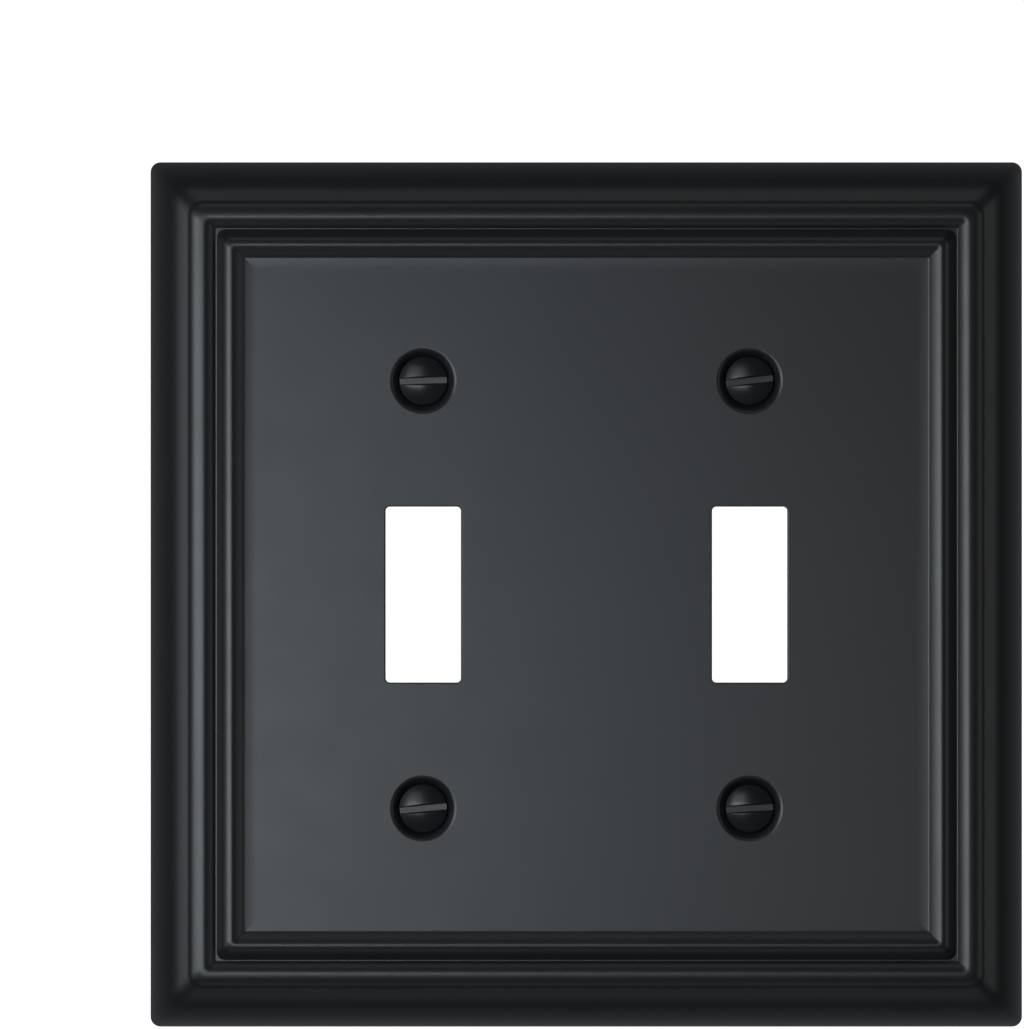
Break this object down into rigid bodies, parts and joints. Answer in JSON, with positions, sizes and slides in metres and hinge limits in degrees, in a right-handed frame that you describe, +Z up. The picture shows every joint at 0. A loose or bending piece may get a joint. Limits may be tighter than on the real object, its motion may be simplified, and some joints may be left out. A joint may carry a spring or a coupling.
{
  "type": "two-gang toggle switch wall plate",
  "caption": "Square wall plate with a stepped moulded border, toggle-switch openings, a hollow back and countersunk captive screws that turn and travel along their threads.",
  "frame": {"origin": "the plate's centre, in the plane of the wall it hangs on", "axes": "+Z up the wall, +X to the right seen from the front, +Y into the wall, so the front faces -Y"},
  "size_m": [0.1232, 0.0144, 0.1222],
  "materials": {
    "powder_coat": "matte black powder coat, very fine and even",
    "screw_paint": "black enamel, slightly smoother than the plate",
    "washer_nylon": "natural nylon, dull"
  },
  "bodies": {
    "plate": {"wall_plate": "powder_coat"},
    "washer_top_left": {"washer_top_left": "washer_nylon"},
    "screw_top_left": {"screw_top_left": "screw_paint"},
    "washer_top_right": {"washer_top_right": "washer_nylon"},
    "screw_top_right": {"screw_top_right": "screw_paint"},
    "washer_bottom_left": {"washer_bottom_left": "washer_nylon"},
    "screw_bottom_left": {"screw_bottom_left": "screw_paint"},
    "washer_bottom_right": {"washer_bottom_right": "washer_nylon"},
    "screw_bottom_right": {"screw_bottom_right": "screw_paint"}
  },
  "joints": [
    {"name": "travel_top_left", "type": "slide", "parent": "plate", "child": "washer_top_left", "axis": [0, -1, 0], "range_m": [0, 0.00159]},
    {"name": "turn_top_left", "type": "hinge", "parent": "washer_top_left", "child": "screw_top_left", "pos_m": [-0.02302, 0, 0.03017], "axis": [0, -1, 0], "range_deg": [0, 720]},
    {"name": "travel_top_right", "type": "slide", "parent": "plate", "child": "washer_top_right", "axis": [0, -1, 0], "range_m": [0, 0.00159]},
    {"name": "turn_top_right", "type": "hinge", "parent": "washer_top_right", "child": "screw_top_right", "pos_m": [0.02302, 0, 0.03017], "axis": [0, -1, 0], "range_deg": [0, 720]},
    {"name": "travel_bottom_left", "type": "slide", "parent": "plate", "child": "washer_bottom_left", "axis": [0, -1, 0], "range_m": [0, 0.00159]},
    {"name": "turn_bottom_left", "type": "hinge", "parent": "washer_bottom_left", "child": "screw_bottom_left", "pos_m": [-0.02302, 0, -0.03017], "axis": [0, -1, 0], "range_deg": [0, 720]},
    {"name": "travel_bottom_right", "type": "slide", "parent": "plate", "child": "washer_bottom_right", "axis": [0, -1, 0], "range_m": [0, 0.00159]},
    {"name": "turn_bottom_right", "type": "hinge", "parent": "washer_bottom_right", "child": "screw_bottom_right", "pos_m": [0.02302, 0, -0.03017], "axis": [0, -1, 0], "range_deg": [0, 720]}
  ],
  "couplings": [
    {"joint": "turn_top_left", "follows": "travel_top_left", "rad_per_m": 7915.8},
    {"joint": "turn_top_right", "follows": "travel_top_right", "rad_per_m": 7915.8},
    {"joint": "turn_bottom_left", "follows": "travel_bottom_left", "rad_per_m": 7915.8},
    {"joint": "turn_bottom_right", "follows": "travel_bottom_right", "rad_per_m": 7915.8}
  ]
}
